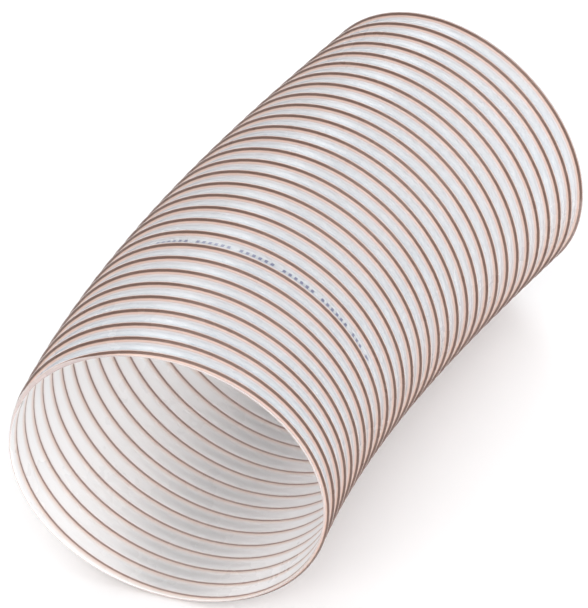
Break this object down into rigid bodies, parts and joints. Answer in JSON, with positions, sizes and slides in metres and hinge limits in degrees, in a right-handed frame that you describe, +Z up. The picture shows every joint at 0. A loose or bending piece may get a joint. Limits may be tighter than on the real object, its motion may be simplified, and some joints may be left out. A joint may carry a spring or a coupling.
{
  "type": "polyurethane spiral hose",
  "caption": "Cut length of large-bore translucent polyurethane ducting hose with a copper-coloured spring-steel wire helix sealed in its wall, lying in a slight curve.",
  "frame": {"origin": "centre of the bottom of the hose's box, on the floor it lies on", "axes": "+Z up, +Y along the chord from the middle of the front cut to the middle of the rear cut, the outside of the bend towards -X"},
  "size_m": [0.2782, 0.5072, 0.258],
  "materials": {
    "polyurethane_film": "milky translucent, glossy",
    "coppered_wire": "copper-coated spring-steel wire"
  },
  "bodies": {
    "root": {"hose_wall": "polyurethane_film", "wire_helix": "coppered_wire"}
  },
  "joints": []
}
